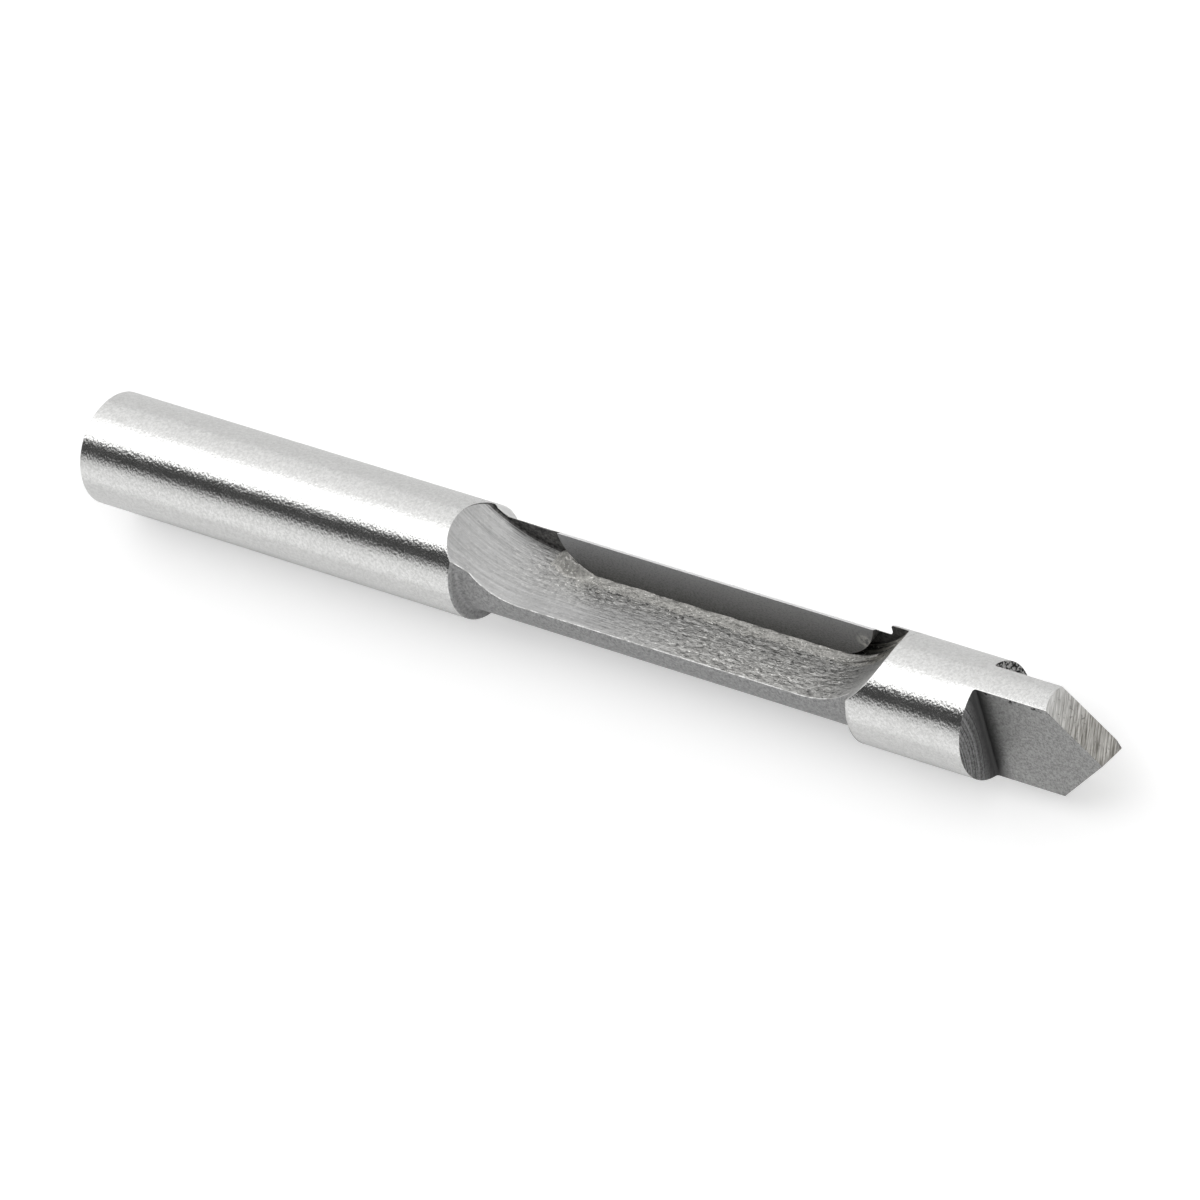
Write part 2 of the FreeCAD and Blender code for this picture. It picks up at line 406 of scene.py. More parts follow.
# Painted highlights: small near-white glints on the rough floor.
painted_glints = calculate(tree, "MULTIPLY", levels(tree, specks, 0.60, 0.66), rough_part)
tone = blend_colour(tree, painted_glints, tone, (0.95, 0.94, 0.91))
# Painted shade in the pits of the rough floor.
painted_pit_shade = calculate(tree, "MULTIPLY", levels(tree, pits, 0.58, 0.63), rough_part)
tone = blend_colour(tree, painted_pit_shade, tone, 0.07)
# Painted shade: a near-black band where the floor meets the wall.
painted_wall_foot_shade = calculate(tree, "ADD", across, calculate(tree, "MULTIPLY", broad, 0.25))
tone = blend_colour(tree, levels(tree, painted_wall_foot_shade, 1.93, 2.06), tone, (0.07, 0.065, 0.06))
tree.links.new(tone, shader.inputs["Base Color"])
tree.links.new(levels(tree, broad, 0.3, 0.7, 0.38, 0.5), shader.inputs["Roughness"])
report_finish(milled_steel)

# %% [markdown]
# ** The wall** of the flute only shows past both ends of the plate, and its dark colour is painted shade.

# %% The wall, in painted shade
wall_painted_shade, tree, shader, place = metal("wall_painted_shade", (0.10, 0.10, 0.10), 0.55)
grain = noise(tree, turned_to(tree, place), 5.0, 3.0, 0.6)
relief(tree, shader, grain, 0.015)
tree.links.new(
    blend_colour(tree, levels(tree, grain, 0.35, 0.65), 0.07, (0.21, 0.205, 0.20)),
    shader.inputs["Base Color"],
)
report_finish(wall_painted_shade)

# %% [markdown]
# **The point** is milled flat on two sides, down to a shoulder on each, and then ground on two slopes.
# The flats are dull and speckled, with painted shade near the shoulder.  The shoulders carry the curved
# marks of the end mill, and painted shade where they meet the flats.

# %% Flats of the point
painted_shade_from, painted_shade_to = 1.1, 0.2
point_flat_steel, tree, shader, place = metal("point_flat_steel", (0.22, 0.22, 0.22), 0.5)
grain = noise(tree, turned_to(tree, place, point_tilt), 8.0, 3.0, 0.8)
where = split_place(tree, place, point_tilt)
relief(tree, shader, grain, 0.012)
tone = blend_colour(tree, levels(tree, grain, 0.35, 0.65), (0.25, 0.25, 0.245), (0.48, 0.48, 0.475))
# Painted shade in the inner corner where the flat meets the shoulder.
flat_painted_shade = levels(
    tree, where["X"], point_start + painted_shade_from, point_start + painted_shade_to,
)
tone = blend_colour(tree, flat_painted_shade, tone, 0.08)
nicks = calculate(
    tree, "MULTIPLY", levels(tree, where["Z"], 2.72, 2.9),
    levels(tree, noise(tree, turned_to(tree, place, point_tilt), 2.2, 2.0, 0.6), 0.56, 0.6),
)
tone = blend_colour(tree, nicks, tone, 0.02)
tree.links.new(tone, shader.inputs["Base Color"])
report_finish(point_flat_steel)

# %% Shoulders of the point
mill_reach = 9.0
shoulder_steel, tree, shader, place = metal("shoulder_steel", (0.12, 0.12, 0.12), 0.8, 0.4)
shader.inputs["Specular IOR Level"].default_value = 0.15
mill_centre = new_node(tree, "ShaderNodeMapping", vector_type="POINT")
mill_centre.inputs["Location"].default_value = (0.0, mill_reach, 0.0)
tree.links.new(turned_to(tree, place, point_tilt, (0.0, 1.0, 1.0)), mill_centre.inputs["Vector"])
distance = new_node(tree, "ShaderNodeVectorMath", operation="LENGTH")
tree.links.new(mill_centre.outputs[0], distance.inputs[0])
arcs = new_node(
    tree, "ShaderNodeTexNoise", noise_dimensions="1D", Scale=6.0, Detail=3.0, Roughness=0.7,
)
tree.links.new(distance.outputs["Value"], arcs.inputs["W"])
grain = noise(tree, turned_to(tree, place), 6.0, 3.0, 0.8)
height = calculate(tree, "ADD", arcs.outputs["Fac"], grain)
relief(tree, shader, height, 0.02)
tone = blend_colour(tree, levels(tree, height, 0.8, 1.2), 0.095, 0.37)
where = split_place(tree, place, point_tilt)
depth = new_node(tree, "ShaderNodeMath", operation="ABSOLUTE")
tree.links.new(where["Y"], depth.inputs[0])
# Painted shade on the shoulder, near the corner where it meets the flat.
inner_corner_painted_shade = levels(
    tree, depth.outputs[0],
    point_thickness / 2 + painted_shade_from, point_thickness / 2 + painted_shade_to,
)
tone = blend_colour(tree, inner_corner_painted_shade, tone, 0.09)
chips = levels(tree, noise(tree, turned_to(tree, place), 4.5, 3.0, 0.8), 0.47, 0.53)
chipped = blend_colour(tree, chips, 0.015, (0.5, 0.5, 0.49))
tone = blend_colour(tree, levels(tree, where["Y"], 0.0, 0.1), tone, chipped)
tree.links.new(tone, shader.inputs["Base Color"])
report_finish(shoulder_steel)

# %% [markdown]
# The slopes are ground by hand on a coarse wheel.  The scratches run straight but at a slant, so the
# pattern is laid out on two directions of its own: along the scratches and across them.  The two
# slopes are half a turn apart, which the sign of the height takes into account.

# %% Slopes of the point
point_slope_steel, tree, shader, place = metal("point_slope_steel", (0.6, 0.6, 0.6), 0.36)
where = split_place(tree, place, point_tilt)
which = new_node(tree, "ShaderNodeMath", operation="SIGN")
tree.links.new(where["Z"], which.inputs[0])
same_side = new_node(tree, "ShaderNodeCombineXYZ")
tree.links.new(where["X"], same_side.inputs["X"])
for axis_name in ("Y", "Z"):
    tree.links.new(
        calculate(tree, "MULTIPLY", where[axis_name], which.outputs[0]), same_side.inputs[axis_name],
    )
scratch = Vector((0.52, -0.954, -0.22)).normalized()
slope_normal = Vector((1.0, math.tan(math.radians(point_relief)), 1.0)).normalized()
crossing = slope_normal.cross(scratch).normalized()
laid_out = new_node(tree, "ShaderNodeCombineXYZ")
for way, fineness, socket in ((scratch, 0.6, "X"), (crossing, 11.0, "Y")):
    project = new_node(tree, "ShaderNodeVectorMath", operation="DOT_PRODUCT")
    tree.links.new(same_side.outputs[0], project.inputs[0])
    project.inputs[1].default_value = way * fineness
    tree.links.new(project.outputs["Value"], laid_out.inputs[socket])
scratches = noise(tree, laid_out.outputs[0], 1.0, 3.0, 0.7)
grain = noise(tree, same_side.outputs[0], 5.0, 3.0, 0.6)
relief(tree, shader, scratches, 0.012)
towards_tip = levels(tree, where["X"], 62.8, 65.2)
light = blend_colour(tree, levels(tree, scratches, 0.35, 0.65), (0.55, 0.545, 0.53), (0.90, 0.90, 0.89))
brown = blend_colour(tree, levels(tree, scratches, 0.38, 0.66), (0.20, 0.19, 0.17), (0.67, 0.655, 0.625))
tone = blend_colour(tree, towards_tip, light, brown)
tone = blend_colour(tree, levels(tree, grain, 0.6, 0.75), tone, (0.2, 0.19, 0.18))
tree.links.new(tone, shader.inputs["Base Color"])
report_finish(point_slope_steel)

# %% [markdown]
# ** Carbide** is ground very fine and is much darker than steel; painted shade darkens its face towards the foot,
# and it has a smear of solder at one corner.  The land behind the cutting edge is polished by sharpening
# and painted near white: a painted highlight.
# **Silver solder** sets in small pale grains, dirty with flux.

# %% Carbide
carbide, tree, shader, place = metal("carbide", (0.20, 0.20, 0.205), 0.36)
grain = noise(tree, turned_to(tree, place, flute_tilt, (7, 11, 11)), 1.0, 3.0, 0.8)
relief(tree, shader, grain, 0.005)
where = split_place(tree, place, flute_tilt)
# Painted shade: the face grows darker from the cutting edge down to the foot.
painted_foot_shade_fade = levels(tree, where["Z"], 0.5, 2.9)
tone = blend_colour(tree, painted_foot_shade_fade, 0.13, (0.31, 0.31, 0.315))
tone = blend_colour(tree, levels(tree, grain, 0.4, 0.7, 0.0, 0.5), tone, 0.36)
tone = blend_colour(tree, levels(tree, grain, 0.5, 0.3, 0.0, 0.4), tone, 0.06)
smear_place = (51.05, face_offset, 1.95)
smear_near = new_node(tree, "ShaderNodeVectorMath", operation="DISTANCE")
tree.links.new(turned_to(tree, place, flute_tilt), smear_near.inputs[0])
smear_near.inputs[1].default_value = smear_place
smear = calculate(
    tree, "MULTIPLY", levels(tree, smear_near.outputs["Value"], 0.65, 0.15),
    levels(tree, noise(tree, turned_to(tree, place, flute_tilt, (3, 3, 3)), 1.0, 3.0, 0.6), 0.42, 0.56),
)
tone = blend_colour(tree, smear, tone, (0.66, 0.65, 0.62))
tree.links.new(tone, shader.inputs["Base Color"])

report_finish(carbide)

# Painted highlight: the land and back of the carbide plate are painted near white.
land_painted_highlight = metal("land_painted_highlight", (0.97, 0.97, 0.97), 0.3)[0]
report_finish(land_painted_highlight)

# %% Silver solder
silver_solder, tree, shader, place = metal("silver_solder", (0.45, 0.44, 0.42), 0.5, 0.7)
grain = noise(tree, turned_to(tree, place, flute_tilt, (6.0, 8.0, 6.0)), 1.0, 3.0, 0.7)
specks = noise(tree, turned_to(tree, place, flute_tilt, (5, 6, 6)), 1.0, 2.0, 0.7)
relief(tree, shader, grain, 0.05)
tone = blend_colour(tree, levels(tree, grain, 0.3, 0.7), (0.28, 0.275, 0.26), (0.66, 0.65, 0.62))
tone = blend_colour(tree, levels(tree, specks, 0.63, 0.69), tone, (0.95, 0.94, 0.91))
tree.links.new(tone, shader.inputs["Base Color"])
report_finish(silver_solder)

# %% [markdown]
# ## The bar
# A lathe and a milling cutter make the bar, so each slice across it is a circle with at most one bite
# out of it: the flute's floor and wall.  That is a rule, and the skin is made from it: one closed
# outline for each place along the bit, all with as many points, joined by rows of faces.  It gives
# even faces that follow the streaks of the cutter, which a boolean would not.  The cutter has left a
# thin lip of burr on the front edge where it comes off the shank, and worn the edge of the wall.

# %% Draw one slice of the bar
arc_points, floor_points, wall_points = 176, 60, 8
# The second number is how far along the axis the front edge keeps its worn finish with a painted highlight.
edge_width, worn_highlit_to = 0.036, 50.4
dip_from, dip_full, dip_to, dip_fade, dip_width = 27.0, 28.6, 29.3, 0.5, 0.34
lip_length, lip_height, lip_degrees, lip_hollow = 0.85, 0.14, 24.0, 1.3
print("each slice:", arc_points, "points round,", floor_points, "on the floor,", wall_points, "on the wall")


def floor_at(x):
    """Height of the flute's floor at x, where the run-outs follow the cutter's rim."""
    past = max(floor_from - x, x - floor_to, 0.0)
    if past >= cutter_radius:
        return cutter_radius
    return floor_height + cutter_radius - math.sqrt(cutter_radius ** 2 - past ** 2)


def smooth_step(value, start, end):
    """Rises smoothly from 0 to 1 between two values."""
    share = min(max((value - start) / (end - start), 0.0), 1.0)
    return share * share * (3 - 2 * share)


def line_points(start, end, count):
    """Points from start to end, both with them."""
    return [
        tuple(a + (b - a) * k / count for a, b in zip(start, end)) for k in range(count + 1)
    ]


def slice_outline(x, radius, centre):
    """Outline of the bar at x in the flute's frame: back, top edge, wall, floor, front edge."""
    across, over = centre
    floor = min(floor_at(x), over + radius)
    half = math.sqrt(max(radius ** 2 - (floor - over) ** 2, 0.0))
    lip_radius = radius
    on_lip = shank_end < x < shank_end + lip_length
    if on_lip:
        left = (1 - (x - shank_end) / lip_length) ** lip_hollow
        lip_radius = max(radius, neck_radius + (band_radius - shoulder_chamfer - neck_radius) * left)
    lip = math.sqrt(max(lip_radius ** 2 - (floor - over) ** 2, 0.0))
    front, corner = across - lip, min(wall_offset, across + half)
    if on_lip:
        corner = wall_offset
    top = over + math.sqrt(max(radius ** 2 - (corner - across) ** 2, 0.0))
    back_radius = radius
    if on_lip and top < floor + lip_height:
        top = floor + lip_height
        back_radius = math.hypot(corner - across, top - over)
    wander = 1.0 + 0.5 * fractal_noise(Vector((1.7 * x, 0.0, 21.0)), 0.7, 2.0, 3)
    front_round = min(edge_width * wander, 0.2 * (corner - front))
    dip = smooth_step(x, dip_from, dip_full) * smooth_step(x, dip_to + dip_fade, dip_to)
    worn = edge_width + dip_width * dip
    top_round = min(worn, 0.4 * max(top - floor, 0.0))
    first = math.atan2(floor - over, front - across) + front_round / radius
    last = math.atan2(top - over, corner - across) + 2 * math.pi - top_round / radius
    outline = []
    for k in range(arc_points + 1):
        angle = first + (last - first) * k / arc_points
        bulge = (lip_radius - radius) * max(0.0, 1 - (angle - first) / math.radians(lip_degrees)) ** 2
        bulge += (back_radius - radius) * max(0.0, 1 - (last - angle) / math.radians(lip_degrees)) ** 2
        outline.append((
            across + (radius + bulge) * math.cos(angle), over + (radius + bulge) * math.sin(angle),
        ))
    wall = line_points((corner, top - top_round), (corner, floor), wall_points)
    ground = line_points((corner, floor), (front + front_round, floor), floor_points)
    outline.append(bend(outline[-1], (corner, top), wall[0]))
    outline += wall + ground[1:]
    outline.append(bend(outline[-1], (front, floor), outline[0]))
    return outline


def bend(before, corner, after):
    """Middle point of a rounded corner."""
    return tuple(0.5 * c + 0.25 * (a + b) for a, c, b in zip(before, corner, after))


# %% [markdown]
# The slices stand close together in the flute, closer still where a run-out dies away, and far apart
# on the plain shank.  The neck is turned a little off centre, so its slices have their own centre.

# %% Choose the places of the slices
# Finishes of the bar's faces: the wall's dark finish is painted shade, and the front edge's is worn metal
# with a painted highlight.
GROUND, TURNED, MILLED, WALL_SHADE, WORN_HIGHLIT = range(5)
bar_finishes = [
    ground_steel, turned_steel, milled_steel, wall_painted_shade, worn_edge_highlight, point_flat_steel,
    point_slope_steel, shoulder_steel,
]
run_out = math.sqrt(cutter_radius ** 2 - (rim_height - band_radius) ** 2)
flute_from, flute_to = floor_from - run_out, floor_to + run_out
side = math.radians(neck_offset_angle)
axis, neck_axis = (0.0, 0.0), (neck_offset * math.cos(side), neck_offset * math.sin(side))
slice_gap, face_lean = 0.15, 0.008
bar_end = point_start - 1.0

places = [(0.0, band_radius - end_chamfer, axis, GROUND), (end_chamfer, band_radius, axis, GROUND)]
rim_from, rim_to = shank_end - shoulder_chamfer, pilot_start + shoulder_chamfer
run_steps = 12
for k in range(run_steps):
    x = flute_from + (rim_from - flute_from) * (k / run_steps) ** 2
    places.append((x, band_radius, axis, GROUND))
places += [(rim_from, band_radius, axis, TURNED), (shank_end, band_radius - shoulder_chamfer, axis, TURNED)]
fillet = [
    (neck_corner * (1 - math.cos(t)), neck_radius + neck_corner * (1 - math.sin(t)))
    for t in (math.radians(15 * k) for k in range(7))
]
places += [(shank_end + face_lean + dx, radius, neck_axis, TURNED) for dx, radius in fillet]
neck_from, neck_to = shank_end + neck_corner + face_lean, pilot_start - neck_corner - face_lean
slices = round((neck_to - neck_from) / slice_gap)
places += [
    (neck_from + (neck_to - neck_from) * k / slices, neck_radius, neck_axis, TURNED)
    for k in range(1, slices)
]
places += [(pilot_start - face_lean - dx, radius, neck_axis, TURNED) for dx, radius in reversed(fillet)]
places += [(pilot_start, band_radius - shoulder_chamfer, axis, TURNED), (rim_to, band_radius, axis, GROUND)]
for k in reversed(range(run_steps)):
    x = flute_to + (rim_to - flute_to) * (k / run_steps) ** 2
    places.append((x, band_radius, axis, GROUND))
places.append((bar_end, band_radius, axis, GROUND))
print("slices:", len(places), "flute from", round(flute_from, 2), "to", round(flute_to, 2))

# %% [markdown]
# The cutter tears the floor as it goes: long shallow streaks, and coarse grain with pits towards the
# plate and the pilot, where solder and flux have run.  Moving the points of the floor up and down
# by a few hundredths of a millimetre makes that real, so it is there in the mesh as well.

# %% Roughen the floor
def floor_relief(x, across):
    """How far the floor stands above or below its plane, in millimetres."""
    rough = 0.25 + 0.75 * max(
        smooth_step(across, -1.4, 0.4), 0.8 * smooth_step(x, 34.0, 41.0)
    ) * smooth_step(x, 27.5, 33.0) * smooth_step(x, 52.6, 50.0)
    streaks = fractal_noise(Vector((0.5 * x, 5.0 * across, 3.0)), 0.7, 2.0, 3)
    lumps = fractal_noise(Vector((2.6 * x, 4.2 * across, 8.0)), 0.6, 2.0, 3)
    pit = smooth_step(fractal_noise(Vector((1.5 * x, 3.6 * across, 14.0)), 0.8, 2.0, 2), 0.42, 0.75)
    return 0.006 * streaks + rough * (0.022 * lumps - 0.05 * pit)


def roughened(x, outline):
    """Outline with the inner points of its floor moved by the relief."""
    start = arc_points + wall_points + 3
    width = outline[start][0] - outline[-2][0]
    for k in range(start, len(outline) - 2):
        across, height = outline[k]
        edge = min(across - outline[-2][0], outline[start][0] - across, 0.12 + 0.1 * width) / 0.3
        outline[k] = (across, height + min(max(edge, 0.0), 1.0) * floor_relief(x, across))
    return outline


# %% Join the slices into a skin
def flute_point(x, across, height):
    """A place in the flute's frame, in the bit's own frame."""
    tilt = math.radians(flute_tilt)
    return (
        x, across * math.cos(tilt) - height * math.sin(tilt),
        across * math.sin(tilt) + height * math.cos(tilt),
    )


def row_finish(k, x, finish):
    """Finish of the faces that follow point k of the outline at x."""
    wall_start = arc_points + 2
    floor_start = wall_start + wall_points
    if k < arc_points:
        return finish
    if k < floor_start + 2:
        return WALL_SHADE
    if k < floor_start + floor_points or finish == GROUND or x > worn_highlit_to:
        return MILLED
    return WORN_HIGHLIT


verts, faces, slots = [], [], []
for x, radius, centre, finish in places:
    verts += [flute_point(x, *point) for point in roughened(x, slice_outline(x, radius, centre))]
row = len(verts) // len(places)
for i in range(len(places) - 1):
    for k in range(row):
        a, b = i * row + k, i * row + (k + 1) % row
        faces.append((a, b, b + row, a + row))
        slots.append(row_finish(k, places[i][0], places[i][3]))
faces.append(tuple(reversed(range(row))))
slots.append(GROUND)
bar = grid_object("steel_bar", verts, faces)
for finish in bar_finishes:
    bar.data.materials.append(finish)
bar.data.polygons.foreach_set("material_index", slots)
print("bar:", len(bar.data.polygons), "faces")

# %% [markdown]
# ## The point
# The last stretch is cut from a plain round blank the way the machines cut it: a solid of the swept
# cutter is taken away, and leaves its own finish behind.  The two slopes and the knocked-off corner
# of the tip are flat, so one kind of cutter makes all three.  The blank starts with the very ring of
# points on which the bar ends, so the two close up into one skin.

# %% Make prisms
def prism(name, outline, sweep, turn, finish):
    """Closed prism of an outline pushed along a vector, with one finish."""
    count = len(outline)
    sweep = Vector(sweep)
    verts = [Vector(p) for p in outline] + [Vector(p) + sweep for p in outline]
    faces = [tuple(range(count)), tuple(reversed(range(count, 2 * count)))]
    faces += [(i, i + count, (i + 1) % count + count, (i + 1) % count) for i in range(count)]
    made = grid_object(name, verts, faces)
    made.data.materials.append(finish)
    made.data.transform(turn)
    face_outwards(made)
    return made


def face_outwards(made):
    """Turns all faces of a closed mesh outwards."""
    shell = bmesh.new()
    shell.from_mesh(made.data)
    bmesh.ops.recalc_face_normals(shell, faces=shell.faces)
    shell.to_mesh(made.data)
    shell.free()


# %% [markdown]
# The slopes have less clearance than the solids give them, and fall a little less, because that is
# what the photograph shows.  The far flat stands a little further out for the same reason.

# %% Shape the cutters
beyond = band_radius + 2.0
mill_end, wheel_end, blank_end = tip + 3, tip + 12, tip + 1.0
half = point_thickness / 2
lean, run = math.tan(math.radians(point_relief)), 1 / math.tan(math.radians(point_angle / 2))


def flat_outline(depth):
    """Outline of the cutter that mills one flat at a depth beside the axis, rounded at its corner."""
    corner = [
        (point_start + point_corner * (1 - math.sin(t)), depth + point_corner * (1 - math.cos(t)))
        for t in (math.radians(90 - 15 * k) for k in range(7))
    ]
    corner += [(mill_end, depth), (mill_end, beyond), (point_start, beyond)]
    return [(x, y, -beyond) for x, y in corner]


def grinding_cutter(name, turn, start, fall, clearance):
    """Solid past a plane: x is start, less fall for each mm up and clearance for each mm across."""
    outline = [
        (start - fall * z + clearance * wheel_half, -wheel_half, z) for z in (-band_radius, beyond)
    ] + [(wheel_end, -wheel_half, beyond), (wheel_end, -wheel_half, -band_radius)]
    sweep = (-2 * clearance * wheel_half, 2 * wheel_half, 0)
    return prism(name, outline, sweep, turn, point_slope_steel)


fall_share, clearance_share = 0.97, 0.45
wheel_half, slope_fall, slope_clearance = 1.5, fall_share * run, clearance_share * lean
corner_start, corner_fall, corner_clearance = tip + 0.095, 0.36, 0.37
far_flat_gain = 0.06
turns = (to_point, to_point @ Matrix.Rotation(math.pi, 4, "X"))
point_cutters = [
    prism(f"flat_cutter_{k}", flat_outline(depth), (0, 0, 2 * beyond), turn, point_flat_steel)
    for k, (turn, depth) in enumerate(zip(turns, (half + far_flat_gain, half)))
]
point_cutters += [
    grinding_cutter(f"slope_cutter_{k}", turn, tip, slope_fall, slope_clearance)
    for k, turn in enumerate(turns)
]
point_cutters.append(
    grinding_cutter("corner_cutter", to_point, corner_start, corner_fall, corner_clearance)
)
print("cutters:", [cutter.name for cutter in point_cutters])

# %% [markdown]
# Each cut is a boolean, and its result becomes plain mesh at once.  Points that a boolean leaves
# closer together than a few thousandths of a millimetre are merged.

# %% Cut the point
def settle(made):
    """Turns an object's modifiers into plain mesh."""
    bpy.context.view_layer.update()
    graph = bpy.context.evaluated_depsgraph_get()
    mesh = bpy.data.meshes.new_from_object(made.evaluated_get(graph), depsgraph=graph)
    made.modifiers.clear()
    made.data = mesh


def cut_away(made, cutter):
    """Takes a cutter out of a solid and throws the cutter away."""
    change = made.modifiers.new("cut", "BOOLEAN")
    change.operation, change.solver, change.object = "DIFFERENCE", "EXACT", cutter
    change.material_mode = "TRANSFER"
    settle(made)
    bpy.data.objects.remove(cutter)


def merge_points(made, distance_mm):
    """Merges points nearer than a distance and clears what has no area."""
    shell = bmesh.new()
    shell.from_mesh(made.data)
    bmesh.ops.remove_doubles(shell, verts=shell.verts, dist=distance_mm * MM)
    bmesh.ops.dissolve_degenerate(shell, edges=shell.edges, dist=1e-8)
    shell.to_mesh(made.data)
    shell.free()


ring_angles = [math.pi / 2 + 2 * math.pi * k / arc_points for k in range(arc_points)]
ring = [
    flute_point(bar_end, band_radius * math.cos(angle), band_radius * math.sin(angle))
    for angle in ring_angles
]
point = prism("point", ring, (blank_end - bar_end, 0, 0), Matrix(), ground_steel)
for cutter in point_cutters:
    cut_away(point, cutter)
merge_points(point, distance_mm=0.004)
print("point:", len(point.data.polygons), "faces", [m.name for m in point.data.materials])

# %% [markdown]
# Real edges are never perfectly sharp.  A narrow bevel catches the light along every outer edge.
# Inner corners are left alone, so the edges are chosen by the sign of their angle.  The short edge
# across the very tip stays sharp, because it has to cut.

# %% Break the outer edges
def break_edges(made, width_mm, degrees, from_mm=-1.0, to_mm=100.0):
    """Bevels the outward edges over an angle that lie between two places on the axis."""
    shell = bmesh.new()
    shell.from_mesh(made.data)
    weight = shell.edges.layers.float.new("bevel_weight_edge")
    for edge in shell.edges:
        inside = all(from_mm < vert.co.x / MM < to_mm for vert in edge.verts)
        if inside and edge.calc_face_angle_signed(0.0) > math.radians(degrees):
            edge[weight] = 1.0
    shell.to_mesh(made.data)
    shell.free()
    bevel = made.modifiers.new("edge", "BEVEL")
    bevel.width, bevel.segments, bevel.limit_method = width_mm * MM, 2, "WEIGHT"
    bevel.miter_outer = "MITER_ARC"
    settle(made)


def smooth_shading(made, sharp_degrees):
    """Shades smoothly, keeps edges over the angle sharp and lets the large faces rule the normals."""
    made.data.polygons.foreach_set("use_smooth", [True] * len(made.data.polygons))
    made.data.set_sharp_from_angle(angle=math.radians(sharp_degrees))
    weight = made.modifiers.new("weight", "WEIGHTED_NORMAL")
    weight.keep_sharp = True
    settle(made)


def use_finishes(made, finishes):
    """Gives a mesh the full list of finishes and points its faces at them."""
    own = [finishes.index(material) for material in made.data.materials]
    slots = [own[face.material_index] for face in made.data.polygons]
    made.data.materials.clear()
    for finish in finishes:
        made.data.materials.append(finish)
    made.data.polygons.foreach_set("material_index", slots)


use_finishes(point, bar_finishes)
shoulder_slot = bar_finishes.index(shoulder_steel)
for face in point.data.polygons:
    if face.center.x / MM < point_start + point_corner and face.normal.x > 0.1:
        face.material_index = shoulder_slot
break_edges(point, width_mm=0.04, degrees=25, from_mm=bar_end + 0.2, to_mm=tip - 0.2)
print("point:", len(point.data.polygons), "faces with its bevels")

# %% [markdown]
# The point's blank still has a cap where the bar meets it.  Without the cap, and with the two rings
# of points merged, bar and point are one closed skin.

# %% Close the bar
shell = bmesh.new()
shell.from_mesh(bar.data)
shell.from_mesh(point.data)
start_cap = [
    face for face in shell.faces
    if len(face.verts) == arc_points and face.calc_center_median().x > shank_end * MM
]
bmesh.ops.delete(shell, geom=start_cap, context="FACES_ONLY")
shell.to_mesh(bar.data)
shell.free()
bpy.data.objects.remove(point)
merge_points(bar, distance_mm=0.0006)
face_outwards(bar)
smooth_shading(bar, sharp_degrees=60)


def open_edges(made):
    """Number of edges without two faces, which is 0 on a closed skin."""
    shell = bmesh.new()
    shell.from_mesh(made.data)
    count = sum(1 for edge in shell.edges if len(edge.link_faces) != 2)
    shell.free()
    return count


print("bar:", len(bar.data.polygons), "faces,", open_edges(bar), "open edges")

# %% [markdown]
# ## The plate
# The carbide plate is a flat slip with two rounded lower corners that stands against the wall.
# Its top is ground to a narrow land and a steep back, which leaves the cutting edge in front.

# %% Make the plate
arc_steps = 24
spare = 1


def corner_arc(centre_x, centre_z, radius, start, end):
    """Points of an arc in the plane of the plate's face."""
    angles = [math.radians(start + (end - start) * k / arc_steps) for k in range(arc_steps + 1)]
    return [
        (centre_x + radius * math.cos(t), face_offset, centre_z + radius * math.sin(t)) for t in angles
    ]


plate_top = band_radius + spare
outline = [(plate_from, face_offset, plate_top)]
outline += corner_arc(
    plate_from + plate_corner_shank, floor_height + plate_corner_shank, plate_corner_shank, 180, 270,
)
outline += corner_arc(
    plate_to - plate_corner_pilot, floor_height + plate_corner_pilot, plate_corner_pilot, 270, 360,
)
outline.append((plate_to, face_offset, plate_top))
plate = prism("cutting_plate", outline, (0, plate_thickness, 0), to_flute, carbide)
print("slip for the plate:", len(plate.data.polygons), "faces")

# %% [markdown]
# One grinder takes the top off: level in front, then down the land, then down the back to the wall.

# %% Grind the plate
edge_z = math.sqrt(band_radius ** 2 - face_offset ** 2)
slope = math.radians(land_clearance) + math.atan2(face_offset, edge_z)
land_y, land_z = (
    face_offset + land_width * math.cos(slope), edge_z - land_width * math.sin(slope),
)
back_z = neck_axis[1] + math.sqrt(neck_radius ** 2 - (wall_offset - neck_axis[0]) ** 2)
front_y, rear_y, over_z = face_offset - spare, wall_offset + spare, plate_top + spare
grind_outline = [
    (front_y, edge_z), (face_offset, edge_z), (land_y, land_z), (wall_offset, back_z),
    (rear_y, back_z), (rear_y, over_z), (front_y, over_z),
]
# The grinder leaves the land and the back of the plate in the near-white painted highlight.
grinder = prism(
    "grinder", [(plate_from - spare, y, z) for y, z in grind_outline],
    (plate_to - plate_from + 2 * spare, 0, 0), to_flute, land_painted_highlight,
)
cut_away(plate, grinder)
merge_points(plate, distance_mm=0.002)
break_edges(plate, width_mm=0.02, degrees=20)
smooth_shading(plate, sharp_degrees=50)
print("plate:", len(plate.data.polygons), "faces,", open_edges(plate), "open edges")

# %% [markdown]
# ## The solder
# Silver solder runs along the foot of the plate and heaps up in the hollow at its rounded corner next
# to the shank.  The heap is a rule of two distances, from the plate's face and from its end, with
# noise on top, so a grid of heights makes it.  Its underside lies just under the floor.

# %% Say how high the solder stands
bead_height, bead_reach, pool_height, pool_reach = 0.15, 0.75, 0.95, 0.45
solder_from, solder_to, solder_front, solder_sunk = 29.6, 51.6, 0.0, 0.03


